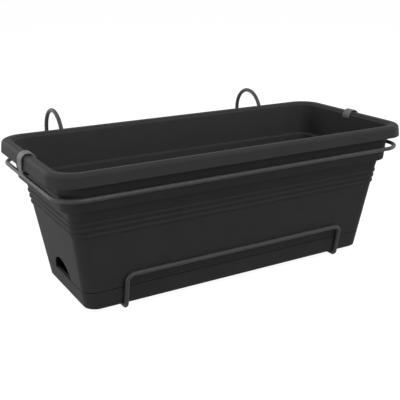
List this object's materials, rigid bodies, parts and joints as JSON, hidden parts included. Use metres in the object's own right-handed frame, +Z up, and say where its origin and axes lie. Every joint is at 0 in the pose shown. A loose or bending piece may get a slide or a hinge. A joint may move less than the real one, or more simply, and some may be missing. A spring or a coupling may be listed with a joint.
{
  "type": "window box planter",
  "caption": "Long rectangular planter trough with a rolled rim on a shallow water tray, held in a bent-wire hanger with rail hooks and a swing-off clip over each end.",
  "frame": {"origin": "bottom centre of the whole object's box, at the level of the undersides of the two runner wires", "axes": "+X along the trough, -Y is the front with the hanger's bar, +Y the rail side with the hooks, +Z up"},
  "size_m": [0.4948, 0.2956, 0.2018],
  "materials": {
    "trough_plastic": "fine-textured satin charcoal moulding",
    "tray_plastic": "fine-textured satin charcoal moulding",
    "coated_wire": "powder-coated steel wire, dark grey, satin",
    "clip_plastic": "mid-grey moulding, satin"
  },
  "bodies": {
    "planter": {"trough": "trough_plastic", "water_tray": "tray_plastic", "ring_wire": "coated_wire", "hanger_wire": "coated_wire"},
    "clip_left": {"left_clip": "clip_plastic"},
    "clip_right": {"right_clip": "clip_plastic"}
  },
  "joints": [
    {"name": "left_clip_swing", "type": "hinge", "parent": "planter", "child": "clip_left", "pos_m": [-0.2297, -0.0359, 0.1735], "axis": [0, 1, 0], "range_deg": [0, 100]},
    {"name": "right_clip_swing", "type": "hinge", "parent": "planter", "child": "clip_right", "pos_m": [0.2297, -0.0359, 0.1735], "axis": [0, -1, 0], "range_deg": [0, 100]}
  ]
}
